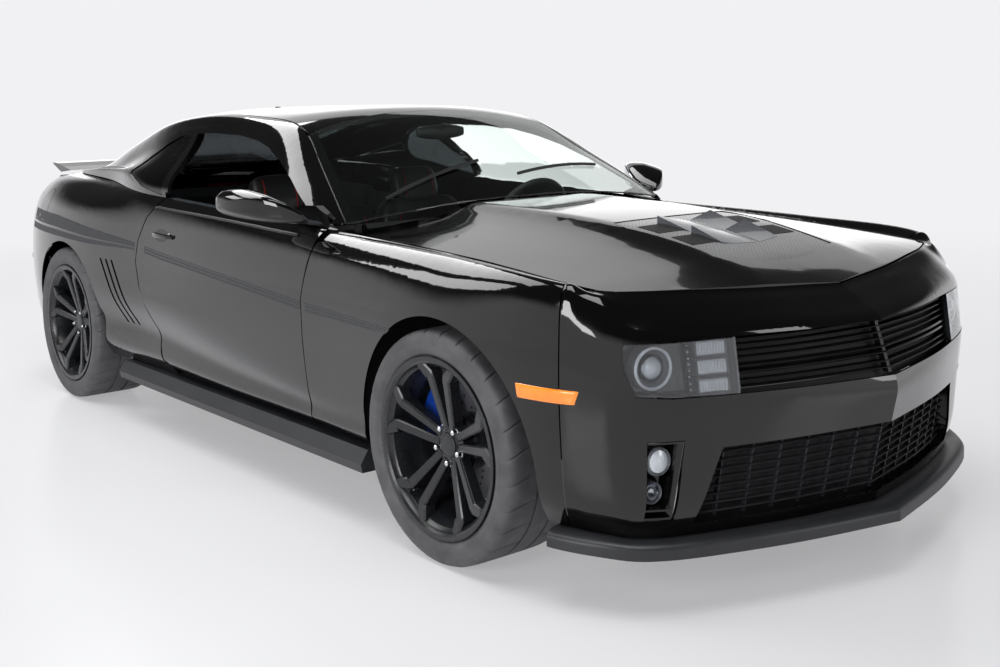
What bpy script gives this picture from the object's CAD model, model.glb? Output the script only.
"""Looks of a black two-door muscle car, laid over its packed construction."""
import logging
import math
from dataclasses import dataclass, field
from enum import Enum
from typing import Any, Callable, Optional, Sequence

import bpy
from mathutils import Matrix, Vector
from mathutils.bvhtree import BVHTree


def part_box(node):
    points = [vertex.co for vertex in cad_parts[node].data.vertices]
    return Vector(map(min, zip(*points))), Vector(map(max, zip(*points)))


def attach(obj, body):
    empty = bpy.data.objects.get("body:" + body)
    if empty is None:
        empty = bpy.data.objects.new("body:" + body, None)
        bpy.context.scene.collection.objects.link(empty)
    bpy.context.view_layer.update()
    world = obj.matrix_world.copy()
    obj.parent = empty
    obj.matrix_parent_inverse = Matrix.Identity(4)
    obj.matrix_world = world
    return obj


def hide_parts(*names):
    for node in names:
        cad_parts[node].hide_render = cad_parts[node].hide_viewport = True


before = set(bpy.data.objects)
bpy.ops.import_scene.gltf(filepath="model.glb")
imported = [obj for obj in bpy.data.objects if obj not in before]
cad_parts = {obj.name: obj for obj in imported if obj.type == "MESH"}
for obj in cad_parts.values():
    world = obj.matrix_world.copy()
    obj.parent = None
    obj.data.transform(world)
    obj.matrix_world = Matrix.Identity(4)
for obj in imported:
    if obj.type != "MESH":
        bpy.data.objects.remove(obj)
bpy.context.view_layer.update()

log = logging.getLogger("muscle_car")
MM = 0.001
FRONT_SEAT_MIDDLE = 370
Point = tuple[float, float, float]


class Side(Enum):
    """A side of the car, with its sign along Y."""

    RIGHT = -1
    LEFT = 1

    @property
    def word(self) -> str:
        """Return the side as it stands in names."""
        return self.name.lower()


# Colours and shader nodes

def linear(code: str) -> tuple[float, float, float, float]:
    """Turn an sRGB hex value into linear colour.

    Args:
        code: six hex digits after a hash.

    Returns:
        Red, green, blue and full alpha.
    """
    parts = [int(code[i:i + 2], 16) / 255 for i in (1, 3, 5)]
    values = [p / 12.92 if p <= 0.04045 else ((p + 0.055) / 1.055) ** 2.4 for p in parts]
    return values[0], values[1], values[2], 1.0


def add_node(tree: Any, kind: str, settings: Optional[dict] = None, links: Optional[dict] = None) -> Any:
    """Add a shader node with its settings and links.

    Args:
        tree: the node tree that gets it.
        kind: Blender's name for the kind of node.
        settings: properties by name, input values by name or number, or "stops" for a ramp.
        links: input names or numbers with the sockets that feed them.

    Returns:
        The new node.
    """
    node = tree.nodes.new(kind)
    for key, value in (settings or {}).items():
        if key == "stops":
            ramp = node.color_ramp
            while len(ramp.elements) < len(value):
                ramp.elements.new(1.0)
            for element, (place, colour) in zip(ramp.elements, value):
                element.position = place
                element.color = colour
        elif isinstance(key, str) and hasattr(node, key):
            setattr(node, key, value)
        else:
            node.inputs[key].default_value = value
    for key, socket in (links or {}).items():
        tree.links.new(socket, node.inputs[key])
    return node


def noise(tree: Any, place: Any, pitch_mm: float, detail: float) -> Any:
    """Add an even noise.

    Args:
        tree: the material's tree.
        place: the socket with the place on the piece.
        pitch_mm: size of its lumps in millimetres.
        detail: how many finer layers it has.

    Returns:
        The noise's socket.
    """
    return add_node(tree, "ShaderNodeTexNoise", {"Scale": 1000 / pitch_mm, "Detail": detail},
                    {"Vector": place}).outputs["Fac"]


@dataclass(frozen=True)
class Finish:
    """A plain opaque finish with mottling and a fine grain.

    The grain's pitch is a real size in millimetres, and its depth is in metres.
    """

    name: str
    colour: str
    worn: str
    roughness: float
    metallic: float = 0.0
    grain_mm: float = 1.0
    grain_depth: float = 0.0002
    patch_mm: float = 90.0
    rough_spread: float = 0.06
    coat: float = 0.0
    sheen: float = 0.0
    emission: float = 0.0

    def material(self) -> Any:
        """Return the finish as a material, made once.

        Returns:
            The material.
        """
        found = bpy.data.materials.get(self.name)
        if found:
            return found
        made = bpy.data.materials.new(self.name)
        made.use_nodes = True
        tree = made.node_tree
        tree.nodes.clear()
        self.build(tree)
        return made

    def shader(self, tree: Any, links: dict) -> Any:
        """Add the main shader and the output.

        Args:
            tree: the material's tree.
            links: what feeds the shader's inputs.

        Returns:
            The shader node.
        """
        settings: dict = {"Metallic": self.metallic}
        if self.coat:
            settings.update({"Coat Weight": self.coat, "Coat Roughness": 0.03, "Coat IOR": 1.5})
        if self.sheen:
            settings.update({"Sheen Weight": self.sheen, "Sheen Roughness": 0.4})
        if self.emission:
            settings.update({"Emission Color": linear(self.colour), "Emission Strength": self.emission})
        body = add_node(tree, "ShaderNodeBsdfPrincipled", settings, links)
        add_node(tree, "ShaderNodeOutputMaterial", None, {"Surface": body.outputs["BSDF"]})
        return body

    def tint(self, tree: Any, share: Any, low: float, high: float) -> Any:
        """Run from the colour to its worn tone.

        Args:
            tree: the material's tree.
            share: the socket that steers it.
            low: up to this value it's the colour.
            high: from this value it's the worn tone.

        Returns:
            The colour's socket.
        """
        stops = [(low, linear(self.colour)), (high, linear(self.worn))]
        return add_node(tree, "ShaderNodeValToRGB", {"stops": stops}, {"Fac": share}).outputs["Color"]

    def gloss(self, tree: Any, share: Any, low: float, high: float) -> Any:
        """Run from one roughness to another.

        Args:
            tree: the material's tree.
            share: the socket that steers it.
            low: the roughness at zero.
            high: the roughness at one.

        Returns:
            The roughness socket.
        """
        return add_node(tree, "ShaderNodeMapRange", {"To Min": low, "To Max": high},
                        {"Value": share}).outputs["Result"]

    def spread_gloss(self, tree: Any, share: Any) -> Any:
        """Return a roughness that strays to both sides."""
        return self.gloss(tree, share, self.roughness - self.rough_spread, self.roughness + self.rough_spread)

    def relief(self, tree: Any, height: Any, strength: float) -> Any:
        """Raise a relief of the grain's depth.

        Args:
            tree: the material's tree.
            height: the socket with its height.
            strength: share of it that shows.

        Returns:
            The normal's socket.
        """
        return add_node(tree, "ShaderNodeBump", {"Strength": strength, "Distance": self.grain_depth},
                        {"Height": height}).outputs["Normal"]

    def build(self, tree: Any) -> None:
        """Mottle the colour and the gloss, and raise a fine grain.

        Args:
            tree: the material's tree.
        """
        place = add_node(tree, "ShaderNodeTexCoord").outputs["Object"]
        patches = noise(tree, place, self.patch_mm, 4.0)
        grain = noise(tree, place, self.grain_mm, 2.0)
        self.shader(tree, {"Base Color": self.tint(tree, patches, 0.3, 0.75),
                           "Roughness": self.spread_gloss(tree, patches),
                           "Normal": self.relief(tree, grain, 0.5)})


@dataclass(frozen=True)
class PaintFinish(Finish):
    """Two-stage enamel sprayed and clear-coated: deep, wet, with the faintest orange peel."""

    peel_mm: float = 9.0
    peel_strength: float = 0.06
    under_coat_gloss: float = 0.1

    def build(self, tree: Any) -> None:
        """Lay a coat with slow orange peel over the colour.

        Args:
            tree: the material's tree.
        """
        place = add_node(tree, "ShaderNodeTexCoord").outputs["Object"]
        peel = noise(tree, place, self.peel_mm, 1.0)
        dust = noise(tree, place, self.patch_mm, 5.0)
        gloss = self.gloss(tree, dust, self.roughness, self.roughness + self.rough_spread)
        body = self.shader(tree, {"Base Color": self.tint(tree, dust, 0.4, 0.8), "Roughness": gloss,
                                  "Normal": self.relief(tree, peel, self.peel_strength)})
        body.inputs["Specular IOR Level"].default_value = self.under_coat_gloss


@dataclass(frozen=True)
class LeatherFinish(Finish):
    """Tanned hide, embossed: pebbled cells with soft valleys."""

    def build(self, tree: Any) -> None:
        """Raise pebbles between thin creases.

        Args:
            tree: the material's tree.
        """
        place = add_node(tree, "ShaderNodeTexCoord").outputs["Object"]
        settings = {"feature": "DISTANCE_TO_EDGE", "Scale": 1000 / self.grain_mm}
        cells = add_node(tree, "ShaderNodeTexVoronoi", settings, {"Vector": place}).outputs["Distance"]
        patches = noise(tree, place, self.patch_mm, 4.0)
        self.shader(tree, {"Base Color": self.tint(tree, patches, 0.3, 0.8),
                           "Roughness": self.spread_gloss(tree, patches),
                           "Normal": self.relief(tree, cells, 0.4)})


@dataclass(frozen=True)
class CarbonFinish(Finish):
    """Carbon cloth laid up in resin: a two-by-two twill under a satin lacquer.

    Real tows are about 2 mm wide, drawn here at 4 mm so that they show in the picture.
    """

    tow_mm: float = 4.0

    def build(self, tree: Any) -> None:
        """Turn the tows' gloss and colour by a twill of diagonal steps.

        Args:
            tree: the material's tree.
        """
        place = add_node(tree, "ShaderNodeTexCoord").outputs["Object"]
        axes = add_node(tree, "ShaderNodeSeparateXYZ", None, {"Vector": place})
        cells = []
        for name in ("X", "Y"):
            scaled = add_node(tree, "ShaderNodeMath", {"operation": "MULTIPLY", 1: 1000 / self.tow_mm},
                              {0: axes.outputs[name]})
            cells.append(add_node(tree, "ShaderNodeMath", {"operation": "FLOOR"}, {0: scaled.outputs[0]}))
        total = add_node(tree, "ShaderNodeMath", {"operation": "ADD"},
                         {0: cells[0].outputs[0], 1: cells[1].outputs[0]})
        turn = add_node(tree, "ShaderNodeMath", {"operation": "FLOORED_MODULO", 1: 4.0},
                        {0: total.outputs[0]})
        over = add_node(tree, "ShaderNodeMath", {"operation": "LESS_THAN", 1: 1.5}, {0: turn.outputs[0]})
        self.shader(tree, {"Base Color": self.tint(tree, over.outputs[0], 0.0, 1.0),
                           "Roughness": self.spread_gloss(tree, over.outputs[0])})


@dataclass(frozen=True)
class DiscFinish(Finish):
    """Grey iron, turned on a lathe: fine rings about the wheel's axis."""

    centre: Point = (0.0, 0.0, 0.0)

    def build(self, tree: Any) -> None:
        """Cut rings by the distance from the axis.

        Args:
            tree: the material's tree.
        """
        place = add_node(tree, "ShaderNodeTexCoord").outputs["Object"]
        moved = add_node(tree, "ShaderNodeVectorMath", {"operation": "SUBTRACT", 1: self.centre}, {0: place})
        flat = add_node(tree, "ShaderNodeVectorMath", {"operation": "MULTIPLY", 1: (1.0, 0.0, 1.0)},
                        {0: moved.outputs["Vector"]})
        radius = add_node(tree, "ShaderNodeVectorMath", {"operation": "LENGTH"}, {0: flat.outputs["Vector"]})
        rings = add_node(tree, "ShaderNodeMath", {"operation": "MULTIPLY", 1: 6283.0 / self.grain_mm},
                         {0: radius.outputs["Value"]})
        wave = add_node(tree, "ShaderNodeMath", {"operation": "SINE"}, {0: rings.outputs[0]})
        body = self.shader(tree, {"Base Color": self.tint(tree, wave.outputs[0], 0.0, 1.0),
                                  "Normal": self.relief(tree, wave.outputs[0], 0.5)})
        body.inputs["Roughness"].default_value = self.roughness


@dataclass(frozen=True)
class GlassFinish(Finish):
    """Float glass or clear moulded acrylic, with a film of dust."""

    ior: float = 1.45

    def build(self, tree: Any) -> None:
        """Let light through, with a dust that dulls the gloss in patches.

        Args:
            tree: the material's tree.
        """
        place = add_node(tree, "ShaderNodeTexCoord").outputs["Object"]
        dust = noise(tree, place, self.patch_mm, 6.0)
        body = self.shader(tree, {"Roughness": self.gloss(tree, dust, 0.0, self.roughness),
                                  "Base Color": self.tint(tree, dust, 0.3, 0.8)})
        body.inputs["Transmission Weight"].default_value = 1.0
        body.inputs["IOR"].default_value = self.ior


# Enamel that is black to the bottom, so only what it mirrors shows
PAINT = PaintFinish("clear_coated_black_enamel", "#050506", "#0a0a0b", 0.09, coat=1.0, grain_depth=0.0004,
                    rough_spread=0.03, patch_mm=400.0)
# Cast vinyl film, knife-cut: a flat dark grey that takes no sharp reflection
VINYL = Finish("matte_cast_vinyl_film", "#2b2c2f", "#323337", 0.55, grain_mm=0.8, grain_depth=0.00005)
# Polypropylene, injection moulded with a fine grain: a soft dark sheen
SATIN_PLASTIC = Finish("moulded_satin_polypropylene", "#232427", "#2b2c30", 0.42, grain_mm=1.2,
                       grain_depth=0.0002)
# Gloss ABS, moulded and unpainted: wet black under the lamps
GLOSS_PLASTIC = Finish("moulded_gloss_abs", "#070708", "#0c0c0d", 0.12, grain_depth=0.00005,
                       rough_spread=0.03)
# Laminated float glass with the faint green of its iron
CLEAR_GLASS = GlassFinish("laminated_float_glass", "#e9f3ee", "#e2ebe6", 0.03, patch_mm=260.0)
# Privacy glass dyed in the melt: almost black from outside
TINTED_GLASS = GlassFinish("dyed_privacy_glass", "#3a3e40", "#33373a", 0.04, patch_mm=260.0)
# Clear polycarbonate, moulded and hard-coated
CLEAR_LENS = GlassFinish("moulded_clear_polycarbonate", "#f4f6f8", "#edeff1", 0.02, patch_mm=120.0)
# Red acrylic, moulded: deep red with a bright edge
RED_LENS = Finish("moulded_red_acrylic", "#6d0a0e", "#8c1015", 0.12, grain_mm=4.0, coat=1.0)
# Amber acrylic over a bright reflector: an even orange with a dotted grain
AMBER_LENS = Finish("moulded_amber_acrylic", "#f07c12", "#ff9a2a", 0.2, grain_mm=5.0, grain_depth=0.0012,
                    coat=1.0, emission=0.25)
# Carbon-black rubber, moulded and dusty from the road: grey on the tread
RUBBER = Finish("moulded_tyre_rubber", "#454547", "#5d5d60", 0.6, grain_mm=3.0, grain_depth=0.0005,
                patch_mm=60.0)
# Rubber of the seals, extruded: dead black
SEAL = Finish("extruded_seal_rubber", "#101011", "#17171a", 0.5, grain_mm=2.0)
# Aluminium, cast and powder-coated satin black
RIM_COAT = Finish("satin_powder_coated_aluminium", "#1c1d1f", "#242528", 0.27, grain_mm=0.9,
                  grain_depth=0.0001)
# Steel nuts, chromed: the only bright points on the wheel
CHROME = Finish("chrome_plated_steel", "#d6d8dc", "#c3c6cb", 0.12, metallic=1.0, grain_depth=0.00005)
# Aluminium reflector, vacuum-metallised inside the lamps
REFLECTOR = Finish("metallised_reflector", "#b9bdc4", "#9fa4ac", 0.2, metallic=1.0, grain_mm=3.0)
# Grey ABS bezels, moulded with a satin face
GREY_BEZEL = Finish("moulded_grey_bezel", "#55585e", "#64676d", 0.32, grain_mm=1.5)
# Iron calipers, cast and enamelled blue
CALIPER = Finish("blue_enamelled_cast_iron", "#0d47b8", "#0a3a99", 0.28, grain_mm=4.0, grain_depth=0.0006,
                 coat=0.6)
# Iron of the knuckles and arms, cast and left rough
CAST_IRON = Finish("sand_cast_iron", "#3c3a38", "#514d49", 0.62, metallic=0.7, grain_mm=3.0,
                   grain_depth=0.0008)
# Aluminium of engine and gearbox, cast: pale grey, matt
CAST_ALUMINIUM = Finish("cast_aluminium", "#86888c", "#9a9ca0", 0.5, metallic=0.8, grain_mm=3.0,
                        grain_depth=0.0006)
# Stainless tube, brushed lengthwise
STAINLESS = Finish("brushed_stainless_tube", "#a9a7a2", "#8f8a83", 0.3, metallic=1.0, grain_mm=1.5)
# Undercoat, sprayed thick: matt, lumpy, dusty black
UNDERCOAT = Finish("sprayed_undercoat", "#131314", "#1d1d1e", 0.8, grain_mm=6.0, grain_depth=0.001)
# Soft-touch skin of the dash, slush moulded
SOFT_SKIN = LeatherFinish("slush_moulded_dash_skin", "#141415", "#1b1b1d", 0.55, grain_mm=3.0,
                          grain_depth=0.0003)
# Black hide on seats and wheel
LEATHER = LeatherFinish("black_tanned_hide", "#121213", "#1b1a1b", 0.46, grain_mm=3.4, grain_depth=0.0004,
                        sheen=0.1)
# Polyester thread, bonded: red seams
RED_THREAD = Finish("red_bonded_thread", "#a01518", "#b5201f", 0.7, grain_mm=1.5)
# Carbon plate of the hood vent
CARBON = CarbonFinish("satin_carbon_twill", "#1d1e21", "#2c2d32", 0.3, coat=0.7, rough_spread=0.05)
# Polycarbonate optics, moulded and metallised behind: bright, milky grey
OPTIC = Finish("moulded_lamp_optic", "#dfe3ea", "#cdd3dc", 0.12, grain_mm=2.5, coat=1.0)
# Lamp bowl, moulded and metallised dark
BOWL = Finish("moulded_dark_lamp_bowl", "#3a3b3f", "#4a4b50", 0.25, grain_mm=3.0, coat=0.5)
# Opal light guide of the halo ring
HALO = Finish("opal_light_guide", "#e8ecf2", "#dfe4ec", 0.2, grain_mm=2.0, coat=1.0)
# Silvered glass
MIRROR_GLASS = Finish("silvered_mirror_glass", "#c8ccd2", "#bfc4cb", 0.02, metallic=1.0, grain_depth=0.00001,
                      rough_spread=0.01)
# Louvres moulded in carbon and lacquered satin grey
SATIN_GREY = Finish("satin_grey_lacquered_louvres", "#4c4e54", "#585a60", 0.24, grain_mm=2.0,
                    grain_depth=0.00005, coat=0.8)
# Aluminium sheet, stamped and painted, with nothing on it
PLATE = Finish("painted_blank_plate", "#c9cbce", "#c0c2c6", 0.4, grain_mm=2.0)
# Steel mesh, woven and blacked
BLACK_MESH = Finish("woven_black_mesh", "#08080a", "#0e0e10", 0.6, grain_mm=2.5)


# Meshes

class Mesh:
    """Points and faces in millimetres, gathered and then made into one piece."""

    def __init__(self) -> None:
        """Start empty."""
        self.points: list[Vector] = []
        self.faces: list[tuple[int, ...]] = []

    def grid(self, rows: Sequence[Sequence[Vector]], ring: bool = False, loop: bool = False) -> None:
        """Add faces over rows of points.

        Args:
            rows: the points, as many in each row.
            ring: each row closes on itself.
            loop: the last row joins the first.
        """
        start, wide = len(self.points), len(rows[0])
        for row in rows:
            self.points += [Vector(p) for p in row]
        for i in range(len(rows) if loop else len(rows) - 1):
            for j in range(wide if ring else wide - 1):
                a, b = start + i * wide, start + ((i + 1) % len(rows)) * wide
                self.faces.append((a + j, a + (j + 1) % wide, b + (j + 1) % wide, b + j))

    def loft(self, rings: Sequence[Sequence[Vector]], caps: bool = True) -> None:
        """Skin closed rings.

        Args:
            rings: the rings, with as many points in each.
            caps: close both ends with a flat face.
        """
        start = len(self.points)
        self.grid(rings, ring=True)
        if caps:
            wide = len(rings[0])
            self.faces.append(tuple(range(start + wide - 1, start - 1, -1)))
            last = start + (len(rings) - 1) * wide
            self.faces.append(tuple(range(last, last + wide)))

    def sheet(self, rows: Sequence[Sequence[Vector]], offset: Callable[[Vector], Vector]) -> None:
        """Add a sheet with a back and edges.

        Args:
            rows: the front's points.
            offset: gives the back's point for a front point.
        """
        rings = []
        for row in rows:
            back = [offset(Vector(p)) for p in row]
            rings.append([Vector(p) for p in row] + back[::-1])
        self.loft(rings)

    def turned(self, profile: Sequence[tuple[float, float]], centre: Point, axis: Point = (0, 1, 0),
               steps: int = 48, closed: bool = False) -> None:
        """Turn a profile about an axis.

        Args:
            profile: distance along the axis and radius.
            centre: where the axis starts.
            axis: its direction.
            steps: how many faces round.
            closed: the profile closes on itself.
        """
        course = Vector(axis).normalized()
        side = course.orthogonal().normalized()
        up = course.cross(side)
        rows = []
        for i in range(steps):
            angle = math.tau * i / steps
            out = side * math.cos(angle) + up * math.sin(angle)
            rows.append([Vector(centre) + course * a + out * r for a, r in profile])
        self.grid(rows, ring=closed, loop=True)

    def bar(self, path: Sequence[Vector], section: Sequence[tuple[float, float]], up: Point) -> None:
        """Sweep a section along a path.

        Args:
            path: the points it follows.
            section: across and up, in order round it.
            up: roughly the section's second direction.
        """
        rings = []
        for i, spot in enumerate(path):
            ahead = (path[min(i + 1, len(path) - 1)] - path[max(i - 1, 0)]).normalized()
            cross = ahead.cross(Vector(up)).normalized()
            lift = cross.cross(ahead)
            rings.append([spot + cross * a + lift * b for a, b in section])
        self.loft(rings)

    def join(self, other: "Mesh") -> None:
        """Take in another mesh.

        Args:
            other: the mesh, which stays as it is.
        """
        start = len(self.points)
        self.points += other.points
        self.faces += [tuple(start + i for i in f) for f in other.faces]

    def piece(self, name: str, finish: Finish, body: str, slot: str, bevel: float = 0.0,
              crease: float = 35.0) -> Any:
        """Make the piece and let it ride.

        Args:
            name: the piece's name.
            finish: its finish.
            body: the body that carries it.
            slot: the record's material slot.
            bevel: width of rounded edges in millimetres.
            crease: edges sharper than this many degrees stay sharp.

        Returns:
            The piece.
        """
        data = bpy.data.meshes.new(name)
        data.from_pydata([p * MM for p in self.points], [], self.faces)
        data.validate()
        data.shade_smooth()
        data.materials.append(finish.material())
        item = bpy.data.objects.new(name, data)
        bpy.context.scene.collection.objects.link(item)
        if bevel:
            edge = item.modifiers.new("rounded", "BEVEL")
            edge.width = bevel * MM
            edge.segments = 2
            edge.limit_method = "ANGLE"
            edge.angle_limit = math.radians(crease)
            edge.harden_normals = True
        else:
            data.set_sharp_from_angle(angle=math.radians(crease))
        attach(item, body)
        log.info("%s: %d faces on %s", name, len(self.faces), body)
        return item


class Skin:
    """Panels that details are laid on, as one surface in millimetres."""

    def __init__(self, *names: str) -> None:
        """Gather the nodes' faces.

        Args:
            names: the nodes.
        """
        points: list[Vector] = []
        faces: list[tuple[int, ...]] = []
        for name in names:
            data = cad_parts[name].data
            start = len(points)
            points += [v.co * 1000 for v in data.vertices]
            faces += [tuple(start + i for i in p.vertices) for p in data.polygons]
        self.tree = BVHTree.FromPolygons(points, faces)

    def hit(self, start: Point, towards: Point) -> Optional[Vector]:
        """Return where a line first meets the surface."""
        return self.tree.ray_cast(Vector(start), Vector(towards).normalized())[0]

    def from_side(self, x: float, z: float, hand: int = -1) -> Optional[Vector]:
        """Return the point seen square from the side."""
        return self.hit((x, hand * 1400, z), (0, -hand, 0))

    def from_front(self, y: float, z: float) -> Optional[Vector]:
        """Return the point seen square from the front."""
        return self.hit((3000, y, z), (-1, 0, 0))

    def from_rear(self, y: float, z: float) -> Optional[Vector]:
        """Return the point seen square from behind."""
        return self.hit((-3000, y, z), (1, 0, 0))

    def from_above(self, x: float, y: float) -> Optional[Vector]:
        """Return the point seen from above."""
        return self.hit((x, y, 2000), (0, 0, -1))


def between(a: float, b: float, share: float) -> float:
    """Return the value at a share of the way."""
    return a + (b - a) * share


def along(points: Sequence[tuple[float, float]], x: float) -> float:
    """Read a line of straight runs.

    Args:
        points: its corners, with the first value rising.
        x: the first value asked for.

    Returns:
        The second value there.
    """
    for (x0, y0), (x1, y1) in zip(points, points[1:]):
        if x <= x1:
            return between(y0, y1, (x - x0) / (x1 - x0))
    return points[-1][1]


# Panels and their film

@dataclass
class BodyPanels:
    """Finishes of the construction's own pieces."""

    finishes: dict = field(default_factory=lambda: {
        PAINT: ("front_fenders", "quarter_panels", "front_bumper", "rear_bumper", "door_panel_right",
                "door_panel_left", "pillars_and_rails", "roof_panel", "hood_panel", "deck_lid",
                "rear_spoiler"),
        SATIN_PLASTIC: ("front_splitter", "side_skirts", "rear_diffuser", "cowl_panel", "upper_grille",
                        "lower_grille"),
        CLEAR_GLASS: ("windshield",),
        TINTED_GLASS: ("rear_windows",),
        UNDERCOAT: ("floor_pan",),
        CAST_IRON: ("knuckle_right", "knuckle_left", "front_suspension", "rear_suspension"),
        CAST_ALUMINIUM: ("powertrain", "radiator"),
        CALIPER: ("caliper_front_right", "caliper_front_left", "calipers_rear"),
        STAINLESS: ("exhaust",),
        SOFT_SKIN: ("dashboard",),
        LEATHER: ("steering_wheel", "seats"),
        RED_LENS: ("tail_lamps",),
        GLOSS_PLASTIC: ("front_lamps", "mirror_right", "mirror_left"),
        CARBON: ("hood_vent",),
    })

    def dress(self) -> None:
        """Give each node its material."""
        for finish, names in self.finishes.items():
            for name in names:
                self.cover(name, finish)

    def cover(self, name: str, finish: Finish) -> None:
        """Give one node one material.

        Args:
            name: the node.
            finish: its finish.
        """
        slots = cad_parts[name].data.materials
        slots.clear()
        slots.append(finish.material())


@dataclass
class SideStripes:
    """Two thin bands of film that run from the front fender to the tail and widen over the rear wheel."""

    top_line: tuple = ((-2250, 878), (-2006, 876), (-1469, 862), (-900, 812), (-584, 788), (-380, 768),
                       (741, 694), (1192, 682), (1330, 678))
    depth: tuple = ((-2250, 95), (-2006, 100), (-1469, 96), (-1100, 74), (-700, 36), (-500, 30), (741, 30),
                    (1192, 22), (1330, 3))
    lines: tuple = ((0.0, 0.3), (0.42, 0.72), (0.84, 1.0))
    quarter_lines: tuple = ((0.0, 0.3), (0.42, 1.0), (0.84, 1.0))
    pitch: float = 25.0
    least_reach: float = 780.0
    lift: float = 0.25
    panels: dict = field(default_factory=lambda: {
        "quarter": ("quarter_panels", (-1920, -560)), "door": ("door_panel_{}", (-545, 712)),
        "fender": ("front_fenders", (722, 1310))})

    def band(self, skin: Skin, hand: int, start: float, end: float, low: Callable,
             high: Callable) -> Optional[Mesh]:
        """Lay a thin band on the side.

        Args:
            skin: the panel.
            hand: -1 for the right side of the car, 1 for the left.
            start: rear end of the band.
            end: front end of the band.
            low: gives the lower edge's height at x.
            high: gives the upper edge's height at x.

        Returns:
            The band, or nothing where it misses the panel.
        """
        rows = []
        count = max(4, int((end - start) / self.pitch))
        for i in range(count + 1):
            x = between(start, end, i / count)
            row = []
            for j in range(4):
                spot = skin.from_side(x, between(low(x), high(x), j / 3), hand)
                if spot is None or abs(spot.y) < self.least_reach:
                    break
                row.append(spot + Vector((0, hand * self.lift, 0)))
            if len(row) == 4:
                rows.append(row)
        if len(rows) < 3:
            return None
        made = Mesh()
        made.grid(rows)
        return made

    def build(self) -> None:
        """Lay the film on each panel, on both sides."""
        for side in Side:
            hand = side.value
            for part, (node, (start, end)) in self.panels.items():
                name = node.format(side.word)
                skin = Skin(name)
                film = Mesh()
                for low_share, high_share in self.quarter_lines if part == "quarter" else self.lines:
                    made = self.band(
                        skin, hand, start, end,
                        lambda x, s=low_share: along(self.top_line, x) - along(self.depth, x) * (1 - s),
                        lambda x, s=high_share: along(self.top_line, x) - along(self.depth, x) * (1 - s))
                    if made:
                        film.join(made)
                body = "door_" + side.word if part == "door" else "body_shell"
                film.piece("stripe_%s_%s" % (part, side.word), VINYL, body, "satin_black_trim")


# Wheels

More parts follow.
